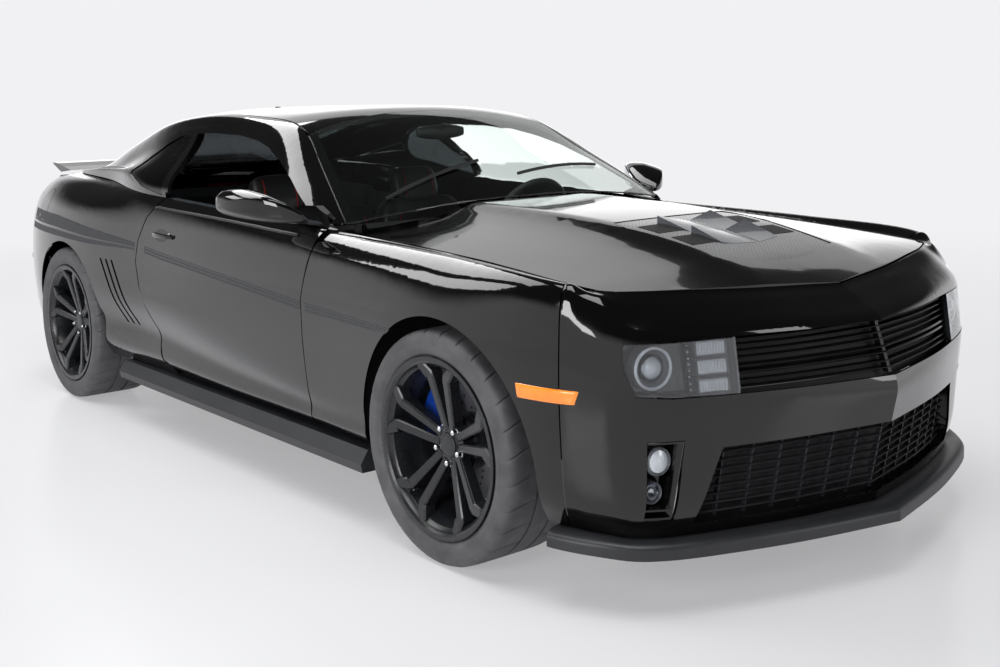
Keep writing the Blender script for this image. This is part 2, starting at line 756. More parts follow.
@dataclass
class Wheel:
    """One wheel: tyre with cut grooves, rim with five pairs of spokes, disc with drilled holes."""

    place: str
    hand: int
    axle: Vector
    radius: float
    width: float
    middle: float
    flange: float = 271.0
    bead: float = 254.0
    pairs: int = 5
    nut_circle: float = 54.0
    lip_inset: float = 5.0
    hub_inset: float = 57.0
    tread_lines: tuple = (-36, 36)
    cut_marks: tuple = (0.0, 0.035, 0.06, 0.085, 0.12, 0.34, 0.56, 0.78)
    cut_depth: float = 4.0
    cut_from: float = 44.0
    skew: float = 0.11
    spoke_line: tuple = ((15, 44, 55, 0.8), (37, 204, 17, 1.05), (42, 212, 14, 1.25), (70, 236, 8, 1.05),
                         (76, 252, 6, 0.9))
    spoke_section: tuple = ((-11, 0), (11, 0), (16, 5), (16.5, 40), (-16.5, 40), (-16, 5))
    disc_back: float = 42.0
    disc_inset: float = 62.0
    disc_thick: float = 32.0
    disc_radius: float = 178.0
    hole_rows: int = 12
    hole_radii: tuple = (98, 115, 132, 149, 166)

    @property
    def body(self) -> str:
        """Return the body that carries it."""
        return "wheel_" + self.place

    @property
    def lip(self) -> float:
        """Return the distance of the rim's lip from the middle plane."""
        return self.width / 2 - self.lip_inset

    def at(self, depth: float, radius: float, angle: float) -> Vector:
        """Return a point of the wheel.

        Args:
            depth: distance inward from the tyre's middle plane, towards the centre of the car.
            radius: distance from the axis.
            angle: turn about the axis, in radians.

        Returns:
            The point in the car's frame.
        """
        y = self.hand * (self.middle - depth)
        return Vector((self.axle.x + radius * math.sin(angle), y, self.axle.z + radius * math.cos(angle)))

    def tyre(self) -> None:
        """Build the tyre, its columns skewed so that the slanted grooves follow them."""
        half = self.width / 2
        r, f = self.radius, self.flange
        side = [(18.5, f - 16), (18.5, f + 1), (12, f + 4), (7, f + 9), (3, f + 18), (0.5, r - 56),
                (0, r - 46), (0.6, r - 40), (0.6, r - 39), (0, r - 34), (1, r - 26), (3.5, r - 18),
                (7, r - 11), (13, r - 5.5), (22, r - 2.2), (34, r - 1.0), (48, r - 0.4), (62, r - 0.2)]
        left = [(-(half - a), q) for a, q in side]
        middle = []
        for line in self.tread_lines:
            middle += [(line - 5, r), (line - 4, r - 5), (line + 4, r - 5), (line + 5, r)]
        profile = left + middle + [(-a, q) for a, q in reversed(left)]
        first, last = 12, len(profile) - 13
        repeats = 28 if self.radius < 353 else 30
        rows = []
        for k in range(repeats):
            for number, mark in enumerate(self.cut_marks):
                row = []
                for index, (a, q) in enumerate(profile):
                    reach = min(1.0, abs(a) / half)
                    angle = math.tau * (k + mark) / repeats + self.skew * reach ** 1.6
                    cut = number in (1, 2, 3) and first <= index <= last and abs(a) > self.cut_from
                    depth = self.cut_depth * (1.0 if number == 2 else 0.6) if cut else 0.0
                    row.append(self.at(a, q - depth, angle))
                rows.append(row)
        made = Mesh()
        made.grid(rows, loop=True)
        item = made.piece("tyre_mesh_" + self.place, RUBBER, self.body, "tyre_rubber", crease=40)
        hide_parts("tyre_" + self.place)

    def rim(self) -> None:
        """Build barrel, lip, hub and the bent spokes."""
        lip = self.lip
        back = 2 * lip
        barrel = [(0, self.flange - 13), (0, self.flange), (8, self.flange), (12, self.bead + 1),
                  (36, self.bead), (62, 236), (back - 60, 236), (back - 36, self.bead),
                  (back - 12, self.bead + 1), (back - 8, self.flange), (back, self.flange),
                  (back, self.flange - 9), (back - 14, self.bead - 8), (back - 40, self.bead - 8),
                  (back - 66, 228), (60, 228), (34, 236), (24, 238), (16, 246), (6, 250)]
        made = Mesh()
        centre = (self.axle.x, self.hand * self.middle + self.hand * lip, self.axle.z)
        inward = (0, -self.hand, 0)
        made.turned(barrel, centre, inward, 96, closed=True)
        hub = [(58, 20), (58, 30), (50, 31), (50, 36), (57, 38), (57, 44), (60, 66), (99, 68), (99, 20)]
        made.turned(hub, centre, inward, 60)
        cap = [(50, 0.01), (49, 24), (50.5, 31), (56, 33)]
        made.turned(cap, centre, inward, 48)
        for k in range(self.pairs):
            for twin in (-1, 1):
                self.spoke(made, math.tau * k / self.pairs, twin)
        item = made.piece("rim_mesh_" + self.place, RIM_COAT, self.body, "satin_black_rim", bevel=1.2,
                          crease=28)
        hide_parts("rim_" + self.place)
        nuts = Mesh()
        for k in range(self.pairs):
            angle = math.tau * (k + 0.5) / self.pairs
            spot = self.at(-(lip - self.hub_inset), self.nut_circle, angle)
            nuts.turned([(-16, 0.01), (-16, 5), (-13, 8.5), (0, 9.5), (1, 12)], tuple(spot), inward, 6)
        nuts.piece("wheel_nuts_" + self.place, CHROME, self.body, "brake_iron", bevel=0.6)
        valve = Mesh()
        valve.turned([(0, 0.01), (0, 3.4), (12, 3.4), (13, 4.6), (30, 4.6)],
                     tuple(self.at(-(lip - 22), 232, math.tau * 0.62)), inward, 12)
        valve.piece("valve_" + self.place, CHROME, self.body, "brake_iron")

    def spoke(self, made: Mesh, turn: float, twin: int) -> None:
        """Add one spoke of a pair: straight from the hub, then bent outward at its elbow.

        Args:
            made: the mesh that takes it.
            turn: angle of the pair.
            twin: -1 or 1, which one of the pair.
        """
        line = self.spoke_line
        rings = []
        for index, (across, radius, depth, scale) in enumerate(line):
            before, after = line[max(index - 1, 0)], line[min(index + 1, len(line) - 1)]
            course = Vector(((after[0] - before[0]) * twin, 0, after[1] - before[1])).normalized()
            flat = Vector((course.z, 0, -course.x))
            ring = []
            for a, b in self.spoke_section:
                sink = b if radius > 60 else b * 0.9
                spot = Vector((across * twin, 0, radius)) + flat * a * scale
                distance = math.hypot(spot.x, spot.z)
                angle = math.atan2(spot.x, spot.z) + turn
                ring.append(self.at(-(self.lip - depth - sink), distance, angle))
            rings.append(ring)
        made.loft(rings)

    def disc(self) -> None:
        """Give the disc its turned face, its vanes' shadow and the drilled holes."""
        inward = (0, -self.hand, 0)
        hub_face = self.lip - self.hub_inset - self.disc_back
        place = (self.axle.x * MM, 0.0, self.axle.z * MM)
        finish = DiscFinish("lathe_turned_iron_" + self.place, "#6d6e72", "#86878b", 0.3, metallic=1.0,
                            grain_mm=1.6, centre=place)
        BodyPanels().cover("disc_" + self.place, finish)
        holes = Mesh()
        face = hub_face - (self.disc_inset - self.disc_thick / 2) + 0.25
        for k in range(self.hole_rows):
            for n, radius in enumerate(self.hole_radii):
                angle = math.tau * k / self.hole_rows + 0.13 * n
                spot = self.at(-face, radius, angle)
                holes.turned([(0, 0.01), (0, 4.2), (-0.2, 4.6), (0.5, 4.8)], tuple(spot), inward, 12)
        vanes = self.at(0, 0, 0)
        vanes.y = self.hand * (self.middle + hub_face - self.disc_inset)
        edge = self.disc_radius + 0.15
        holes.turned([(-6, edge), (6, edge)], tuple(vanes), (0, 1, 0), 72)
        holes.piece("disc_holes_" + self.place, BLACK_MESH, self.body, "brake_iron")

    def build(self) -> None:
        """Build all of it."""
        self.tyre()
        self.rim()
        self.disc()


# Front end

@dataclass
class FrontSkin:
    """Where the nose's surface lies, also across its openings."""

    cover: Skin
    upper_edges: tuple[float, float] = (565, 738)
    lower_edges: tuple[float, float] = (222, 476)
    split: float = 510.0
    slack: float = 12.0

    def reach(self, y: float, z: float) -> float:
        """Return how far forward the surface stands, bridging an opening from its edges.

        Args:
            y: place across the car.
            z: height.

        Returns:
            The surface's x.
        """
        found = self.cover.from_front(y, z)
        if found is not None and found.x > self.bridge(y, z) - self.slack:
            return found.x
        return self.bridge(y, z)

    def bridge(self, y: float, z: float) -> float:
        """Run straight between the sound edges above and below an opening.

        Args:
            y: place across the car.
            z: height.

        Returns:
            The run's x.
        """
        low, high = self.upper_edges if z > self.split else self.lower_edges
        below, above = self.cover.from_front(y, low), self.cover.from_front(y, high)
        return between(below.x, above.x, (z - low) / (high - low))

    def spot(self, y: float, z: float, sink: float = 0.0) -> Vector:
        """Return a point of the surface, sunk by a depth."""
        return Vector((self.reach(y, z) - sink, y, z))


def spread(points: Sequence[tuple[float, float]], count: int) -> list[tuple[float, float]]:
    """Spread points at even distances round a closed outline.

    Args:
        points: the outline's corners.
        count: how many points are asked for.

    Returns:
        The points.
    """
    closed = list(points) + [points[0]]
    lengths = [math.dist(a, b) for a, b in zip(closed, closed[1:])]
    found = []
    for i in range(count):
        left = sum(lengths) * i / count
        for number, length in enumerate(lengths):
            if left <= length:
                share = left / length
                found.append((between(closed[number][0], closed[number + 1][0], share),
                              between(closed[number][1], closed[number + 1][1], share)))
                break
            left -= length
    return found


@dataclass
class Headlamp:
    """A lamp of one side: dark bowl, projector in a halo ring, beads and ribbed blocks under a lens."""

    side: Side
    surface: FrontSkin
    outline: tuple = ((508, 728), (788, 725), (789, 662), (770, 594), (690, 587), (508, 583))
    middle: tuple[float, float] = (648, 656)
    projector: tuple[float, float] = (708, 658)
    look: Point = (1.0, 0.25, 0.02)
    halo_radius: float = 54.0
    halo_tube: float = 4.5
    reflector: tuple = ((-26, 36), (-22, 35), (-6, 33), (-4, 30.5), (-10, 29))
    optic: tuple = ((-10, 30), (-2, 27), (5, 21), (10, 13), (12.5, 0.01))
    bead: tuple = ((-5, 4.6), (0, 5.4), (3, 3.6), (4.4, 0.01))
    bead_y: float = 626.0
    bead_foot: float = 598.0
    bead_pitch: float = 16.5
    bead_count: int = 8
    block_ends: tuple[float, float] = (522, 602)
    ribs: float = 2.6
    depth: float = 70.0
    blocks: tuple = ((586, 622), (634, 672), (684, 722))
    count: int = 72

    @property
    def hand(self) -> int:
        """Return the side's sign."""
        return self.side.value

    def ring(self, sink: float, shrink: float) -> list[Vector]:
        """Draw the outline in towards its middle.

        Args:
            sink: depth below the nose's surface.
            shrink: share of the way to the middle.

        Returns:
            The ring.
        """
        found = []
        for y, z in spread(self.outline, self.count):
            y, z = between(y, self.middle[0], shrink), between(z, self.middle[1], shrink)
            found.append(self.surface.spot(self.hand * y, z, sink))
        return found

    def facing(self) -> Vector:
        """Return the way the projector looks."""
        ahead, aside, up = self.look
        return Vector((ahead, self.hand * aside, up)).normalized()

    def bowl(self) -> None:
        """Build the dark housing."""
        made = Mesh()
        rings = [self.ring(1, -0.012), self.ring(2, 0.012), self.ring(14, 0.03), self.ring(self.depth, 0.05)]
        made.loft(rings, caps=False)
        made.faces.append(tuple(range(3 * self.count, 4 * self.count)))
        item = made.piece("lamp_bowl_" + self.side.word, BOWL, "body_shell", "satin_black_trim")
        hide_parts("front_lamps")

    def cover(self) -> None:
        """Build the clear lens, 3.2 mm thick."""
        steps = 8
        front = [self.ring(-0.6, k / steps) for k in range(steps)]
        back = [self.ring(2.6, k / steps) for k in range(steps)]
        made = Mesh()
        made.loft(front[::-1] + back)
        made.piece("lamp_lens_" + self.side.word, CLEAR_LENS, "body_shell", "lamp_lens")

    def block(self, lens: Mesh, dark: Mesh, low: float, high: float) -> None:
        """Add one ribbed block in its frame.

        Args:
            lens: the mesh that takes the block.
            dark: the mesh that takes the frame.
            low: the block's lower edge.
            high: its upper edge.
        """
        near, far = self.block_ends
        rows = []
        for i in range(41):
            across = between(near, far, i / 40)
            wave = self.ribs * abs(math.sin(math.pi * i / 4))
            row = []
            for share, extra in ((0, -16), (0, 0), (0.12, 3), (0.88, 3), (1, 0), (1, -16)):
                spot = self.surface.spot(self.hand * across, between(low, high, share), 24)
                row.append(spot + Vector((extra + (wave if 0 < share < 1 else 0), 0, 0)))
            rows.append(row)
        lens.grid(rows)
        outer = self.rectangle(near - 6, far + 6, low - 5, high + 5, 20)
        inner = self.rectangle(near, far, low, high, 21)
        outer_back = [p - Vector((34, 0, 0)) for p in outer]
        inner_back = [p - Vector((30, 0, 0)) for p in inner]
        dark.loft([outer_back, outer, inner, inner_back], caps=False)

    def rectangle(self, near: float, far: float, low: float, high: float, sink: float) -> list[Vector]:
        """Lay a rectangle on the nose.

        Args:
            near: its side towards the car's middle.
            far: its outer side.
            low: its lower edge.
            high: its upper edge.
            sink: depth below the surface.

        Returns:
            The ring of points.
        """
        corners = ((near, low), (far, low), (far, high), (near, high))
        return [self.surface.spot(self.hand * y, z, sink) for y, z in spread(corners, 32)]

    def inside(self) -> None:
        """Build the projector, the halo, the beads and the ribbed blocks."""
        look = self.facing()
        y, z = self.projector
        centre = self.surface.spot(self.hand * y, z, 34)
        halo, bright, dark, lens = Mesh(), Mesh(), Mesh(), Mesh()
        tube = []
        for k in range(10):
            angle = math.tau * k / 10
            out = self.halo_radius + self.halo_tube * math.cos(angle)
            tube.append((self.halo_tube * math.sin(angle), out))
        halo.turned(tube, tuple(centre), tuple(look), 56, closed=True)
        dark.turned([(-34, self.halo_radius + 8), (-6, self.halo_radius + 7), (-6, self.halo_radius - 5),
                     (-12, 40), (-26, 36)], tuple(centre), tuple(look), 56)
        bright.turned(self.reflector, tuple(centre), tuple(look), 48)
        lens.turned(self.optic, tuple(centre), tuple(look), 40)
        for k in range(self.bead_count):
            height = self.bead_foot + self.bead_pitch * k
            spot = self.surface.spot(self.hand * self.bead_y, height, 22)
            bright.turned(self.bead, tuple(spot), tuple(look), 12)
        for low, high in self.blocks:
            self.block(lens, dark, low, high)
        halo.piece("lamp_halo_" + self.side.word, HALO, "body_shell", "lamp_lens")
        dark.piece("lamp_bezels_" + self.side.word, GREY_BEZEL, "body_shell", "satin_black_trim")
        bright.piece("lamp_reflectors_" + self.side.word, REFLECTOR, "body_shell", "lamp_lens")
        lens.piece("lamp_optics_" + self.side.word, OPTIC, "body_shell", "lamp_lens")

    def build(self) -> None:
        """Build the whole lamp."""
        self.bowl()
        self.inside()
        self.cover()


@dataclass
class Grilles:
    """Thin moulded bars over woven mesh in the upper and the lower opening."""

    surface: FrontSkin
    upper_bars: tuple = (594, 611, 633, 649, 671, 688, 705, 721)
    heavy: tuple = (633, 649)
    upper_half: float = 500.0
    sink: float = 20.0
    lower_bars: tuple = (252, 276, 300, 324, 348, 372, 396, 420)
    slat: tuple = ((-2.5, -14), (2.5, -14), (2.5, 3), (0, 6), (-2.5, 3))
    post: tuple = ((-2, -12), (2, -12), (2, 2), (-2, 2))
    post_pitch: float = 87.0
    post_span: tuple[float, float] = (236, 437)
    side_post: tuple = ((-4, -14), (4, -14), (4, 5), (-4, 5))
    side_post_span: tuple[float, float] = (580, 730)
    upper_mesh: tuple[float, float] = (556, 748)
    upper_mesh_half: float = 512.0
    lower_mesh: tuple[float, float] = (190, 462)
    lower_widths: tuple = ((232, 610), (440, 551))

    def run(self, z: float, half: float, sink: float, steps: int = 36) -> list[Vector]:
        """Run across the nose, sharp at its middle.

        Args:
            z: height.
            half: half its length.
            sink: depth below the surface.
            steps: how many parts it has.

        Returns:
            The path.
        """
        return [self.surface.spot(between(-half, half, i / steps), z, sink) for i in range(steps + 1)]

    def mesh_sheet(self, low: float, high: float, wide: Callable[[float], float], sink: float) -> Mesh:
        """Build the dark sheet behind the bars.

        Args:
            low: its lower edge.
            high: its upper edge.
            wide: gives half its width at a height.
            sink: depth below the nose's surface.

        Returns:
            The sheet.
        """
        made = Mesh()
        rows = []
        for k in range(5):
            z = between(low, high, k / 4)
            rows.append(self.run(z, wide(z), sink, 28))
        made.sheet(rows, lambda p: p - Vector((3, 0, 0)))
        return made

    def upper(self) -> None:
        """Build the upper grille."""
        made = Mesh()
        for z in self.upper_bars:
            tall = 5.6 if z in self.heavy else 3.2
            section = [(-tall, -12), (tall, -12), (tall * 0.8, 5), (0.4, 8), (-0.4, 8), (-tall * 0.8, 5)]
            rings = []
            for spot in self.run(z, self.upper_half, self.sink):
                rings.append([spot + Vector((b, 0, a)) for a, b in section])
            made.loft(rings)
        for hand in (-1, 1):
            for y in (3, self.upper_half):
                rings = []
                for k in range(9):
                    z = between(self.side_post_span[0], self.side_post_span[1], k / 8)
                    spot = self.surface.spot(hand * y, z, self.sink - 1)
                    rings.append([spot + Vector((b, a, 0)) for a, b in self.side_post])
                made.loft(rings)
        item = made.piece("grille_bars_upper", GLOSS_PLASTIC, "body_shell", "satin_black_trim", crease=30)
        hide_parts("upper_grille")
        back = self.mesh_sheet(*self.upper_mesh, lambda z: self.upper_mesh_half, 46)
        back.piece("grille_mesh_upper", BLACK_MESH, "body_shell", "satin_black_trim")

    def lower_half(self, z: float) -> float:
        """Return half the lower opening's width at a height."""
        (foot, wide), (top, narrow) = self.lower_widths
        return between(wide, narrow, (z - foot) / (top - foot))

    def lower(self) -> None:
        """Build the lower grille: slats, posts and their frame."""
        made = Mesh()
        for z in self.lower_bars:
            rings = []
            for spot in self.run(z, self.lower_half(z) - 1, 26):
                rings.append([spot + Vector((b, 0, a)) for a, b in self.slat])
            made.loft(rings)
        for k in range(-6, 7):
            y = self.post_pitch * k
            rings = []
            for step in range(7):
                z = between(self.post_span[0], self.post_span[1], step / 6)
                if abs(y) > self.lower_half(z) - 6:
                    continue
                spot = self.surface.spot(y, z, 28)
                rings.append([spot + Vector((b, a, 0)) for a, b in self.post])
            if len(rings) > 2:
                made.loft(rings)
        item = made.piece("grille_slats_lower", SATIN_PLASTIC, "body_shell", "satin_black_trim", crease=30)
        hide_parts("lower_grille")
        back = self.mesh_sheet(*self.lower_mesh, lambda z: self.lower_half(z) + 16, 56)
        back.piece("grille_mesh_lower", BLACK_MESH, "body_shell", "satin_black_trim")

    def build(self) -> None:
        """Build both grilles."""
        self.upper()
        self.lower()


@dataclass
class FogPod:
    """The recess beside the lower opening, with a clear fog lamp over a smaller ringed one."""

    side: Side
    surface: FrontSkin
    outline: tuple = ((657, 468), (743, 468), (734, 252), (666, 252))
    lamps: tuple = ((702, 412, 35), (702, 322, 27))
    middle: tuple[float, float] = (700, 360)
    count: int = 48
    toe_out: float = 0.18

    def ring(self, sink: float, shrink: float) -> list[Vector]:
        """Draw the outline in towards its middle.

        Args:
            sink: depth below the nose's surface.
            shrink: share of the way to the middle.

        Returns:
            The ring.
        """
        found = []
        for y, z in spread(self.outline, self.count):
            y, z = between(y, self.middle[0], shrink), between(z, self.middle[1], shrink)
            found.append(self.surface.spot(self.side.value * y, z, sink))
        return found

    def build(self) -> None:
        """Build recess, lamps and the slat below."""
        hand = self.side.value
        made = Mesh()
        rings = [self.ring(1, -0.015), self.ring(-1.5, 0.0), self.ring(1, 0.05), self.ring(60, 0.1)]
        made.loft(rings, caps=False)
        made.faces.append(tuple(range(3 * self.count, 4 * self.count)))
        slat = []
        for k in range(9):
            y = hand * between(664, 738, k / 8)
            front = self.surface.spot(y, 280, 6)
            slat.append([front + Vector((a, 0, b)) for a, b in ((0, -6), (2, 0), (-40, 18), (-42, 12))])
        made.loft(slat)
        made.piece("fog_pod_" + self.side.word, GLOSS_PLASTIC, "body_shell", "satin_black_trim")
        look = (1.0, hand * self.toe_out, 0.0)
        bright, lens, rims = Mesh(), Mesh(), Mesh()
        for number, (y, z, radius) in enumerate(self.lamps):
            centre = self.surface.spot(hand * y, z, 18 if number == 0 else 26)
            at = tuple(centre)
            rims.turned([(-36, radius + 4), (0, radius + 4), (4, radius + 1), (1, radius - 2),
                         (-8, radius - 3)], at, look, 48)
            bright.turned([(-4, radius - 2), (-14, radius * 0.8), (-24, radius * 0.4), (-26, 0.01)],
                          at, look, 40)
            if number == 0:
                lens.turned([(-4, radius - 2.5), (3, radius * 0.85), (8, radius * 0.5), (10, 0.01)],
                            at, look, 40)
            else:
                rims.turned([(-6, radius * 0.62), (-2, radius * 0.6), (-2, radius * 0.45),
                             (-6, radius * 0.42)], at, look, 36)
        bright.piece("fog_reflectors_" + self.side.word, REFLECTOR, "body_shell", "lamp_lens")
        rims.piece("fog_rims_" + self.side.word, GREY_BEZEL, "body_shell", "satin_black_trim")
        lens.piece("fog_lens_" + self.side.word, OPTIC, "body_shell", "lamp_lens")


@dataclass
class SideMarkers:
    """Amber markers ahead of the front wheels and red ones at the tail."""

    amber: tuple = ((1845, 564), (2012, 563), (2024, 602), (1840, 606))
    red: tuple = ((-2120, 600), (-2030, 600), (-2026, 628), (-2120, 628))
    section: tuple = ((0, -1.0), (0.06, 0.6), (0.2, 1.0), (0.8, 1.0), (0.94, 0.6), (1, -1.0))

    def patch(self, skin: Skin, hand: int, corners: Sequence[tuple[float, float]], rise: float) -> Mesh:
        """Return a thin pad on the side.

        Args:
            skin: what carries it.
            hand: which side.
            corners: rear bottom, front bottom, front top and rear top as x and z.
            rise: how far it stands proud.

        Returns:
            The pad.
        """
        rings = []
        for i in range(17):
            a = i / 16
            ring = []
            for share, lift in self.section:
                low = between(corners[0][0], corners[1][0], a), between(corners[0][1], corners[1][1], a)
                high = between(corners[3][0], corners[2][0], a), between(corners[3][1], corners[2][1], a)
                x, z = between(low[0], high[0], share), between(low[1], high[1], share)
                spot = skin.from_side(x, z, hand)
                end = 0.3 if i in (0, 16) else 1.0
                ring.append(spot + Vector((0, hand * (rise * lift * end if lift > 0 else -1.5), 0)))
            rings.append(ring)
        made = Mesh()
        made.loft(rings)
        return made

    def build(self) -> None:
        """Build all four."""
        front = Skin("front_fenders", "front_bumper")
        rear = Skin("rear_bumper", "quarter_panels")
        for side in Side:
            hand = side.value
            amber = self.patch(front, hand, self.amber, 4)
            amber.piece("side_marker_front_" + side.word, AMBER_LENS, "body_shell", "lamp_lens", crease=60)
            red = self.patch(rear, hand, self.red, 3)
            red.piece("side_marker_rear_" + side.word, RED_LENS, "body_shell", "red_lens", crease=60)


@dataclass
class HoodVent:
    """Two rows of fins on the carbon plate, each highest at its outer rear corner."""

    rows: tuple = ((1640, 1762), (1782, 1896))
    lift: float = 21.0
    fin: tuple[float, float] = (12.0, 128.0)
    mouth: tuple[float, float] = (112.0, 244.0)
    crown_at: tuple[float, float] = (1800.0, 240.0)
    profile: tuple = ((1560, 973), (1640, 961), (1760, 943), (1880, 920), (1940, 906), (2000, 892),
                      (2060, 874))

    def top(self, x: float, y: float, rise: float, crown: float) -> Vector:
        """Find a point over the plate's smooth form.

        Args:
            x: place along the car.
            y: place across it.
            rise: height over the plate.
            crown: fall of the plate per square millimetre across.

        Returns:
            The point.
        """
        return Vector((x, y, along(self.profile, x) - crown * y * y + rise))

    def wedge(self, made: Mesh, hand: int, rear: float, front: float, crown: float) -> None:
        """Add one closed fin with flat faces.

        Args:
            made: the mesh that takes it.
            hand: which side.
            rear: x of its high edge.
            front: x of its low edge.
            crown: fall of the plate per square millimetre across.
        """
        rings = []
        for i in range(7):
            share = i / 6
            y = hand * between(self.fin[0], self.fin[1], share)
            nose = front + 22 * (1 - share)
            tail = rear - 16 * share
            upper = [self.top(between(nose, tail, k / 4), y, 0.6 + self.lift * share * k / 4, crown)
                     for k in range(5)]
            lower = [self.top(p.x, y, -1.5, crown) for p in reversed(upper)]
            rings.append(upper + lower)
        made.loft(rings)

    def build(self) -> None:
        """Build fins and mouths."""
        plate = Skin("hood_vent")
        x, y = self.crown_at
        middle, side = plate.from_above(x, 0), plate.from_above(x, -y)
        crown = (middle.z - side.z) / (y * y)
        fins, mouths = Mesh(), Mesh()
        for rear, front in self.rows:
            for hand in (-1, 1):
                self.wedge(fins, hand, rear, front, crown)
                rows = []
                for i in range(7):
                    across = hand * between(self.mouth[0], self.mouth[1], i / 6)
                    row = [plate.from_above(between(front - 22, rear + 6, k / 4), across) for k in range(5)]
                    rows.append([spot + Vector((0, 0, 0.9)) for spot in row])
                mouths.grid(rows)
        fins.piece("vent_louvres", SATIN_GREY, "hood", "carbon_insert", crease=20)
        mouths.piece("vent_mouths", BLACK_MESH, "hood", "satin_black_trim")


# Sides and glass

@dataclass
class Mirror:
    """A door mirror: rounded shell, foot on the door and a mirror glass."""

    side: Side
    rings: tuple = ((868, 610, 700, 958, 980), (895, 540, 694, 956, 1012), (930, 470, 676, 958, 1046),
                    (965, 420, 648, 962, 1066), (1000, 384, 606, 970, 1072), (1026, 364, 540, 982, 1064),
                    (1040, 366, 470, 994, 1046), (1044, 384, 430, 1006, 1032))
    foot_rings: tuple = ((806, 560, 700, 944, 956), (848, 566, 690, 948, 968), (880, 590, 676, 962, 984),
                         (930, 590, 660, 966, 990))
    squareness: float = 0.42
    taper: float = 0.42
    glass_span: tuple[float, float] = (905, 1028)
    glass_rim: tuple[float, float] = (14, 12)

    @property
    def body(self) -> str:
        """Return the door that carries it."""
        return "door_" + self.side.word

    def shell(self) -> None:
        """Build the painted shell from rings across the car."""
        made = Mesh()
        rings = []
        for y, rear, front, low, high in self.rings:
            ring = []
            for k in range(28):
                angle = math.tau * k / 28
                c, s = math.cos(angle), math.sin(angle)
                across = (abs(c) ** self.squareness) * (1 if c > 0 else -1)
                up = (abs(s) ** self.squareness) * (1 if s > 0 else -1)
                x = (rear + front) / 2 + across * (front - rear) / 2
                taper = 1.0 - self.taper * max(0.0, across) * max(0.0, up)
                z = (low + high) / 2 + up * taper * (high - low) / 2
                ring.append(Vector((x, self.side.value * y, z)))
            rings.append(ring)
        made.loft(rings)
        item = made.piece("mirror_shell_" + self.side.word, PAINT, self.body, "gloss_black_paint", crease=50)
        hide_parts("mirror_" + self.side.word)

    def foot(self) -> None:
        """Build the dark foot."""
        made = Mesh()
        rings = []
        for y, rear, front, low, high in self.foot_rings:
            section = ((rear, low), (front, low), (front + 6, (low + high) / 2), (front - 10, high),
                       (rear + 6, high))
            rings.append([Vector((x, self.side.value * y, z)) for x, z in section])
        made.loft(rings)
        made.piece("mirror_foot_" + self.side.word, SATIN_PLASTIC, self.body, "satin_black_trim", bevel=3)

    def glass(self) -> None:
        """Build the glass in the shell's rear face."""
        made = Mesh()
        rows = []
        for i in range(9):
            y = between(self.glass_span[0], self.glass_span[1], i / 8)
            rear, low, high = [along([(ring[0], ring[n]) for ring in self.rings], y) for n in (1, 3, 4)]
            low, high = low + self.glass_rim[0], high - self.glass_rim[1]
            heights = [between(low, high, k / 6) for k in range(7)]
            rows.append([Vector((rear - 1.0, self.side.value * y, z)) for z in heights])
        made.sheet(rows, lambda p: p + Vector((5, 0, 0)))
        made.piece("mirror_glass_" + self.side.word, MIRROR_GLASS, self.body, "lamp_lens")

    def build(self) -> None:
        """Build it on its door."""
        self.shell()
        self.foot()
        self.glass()


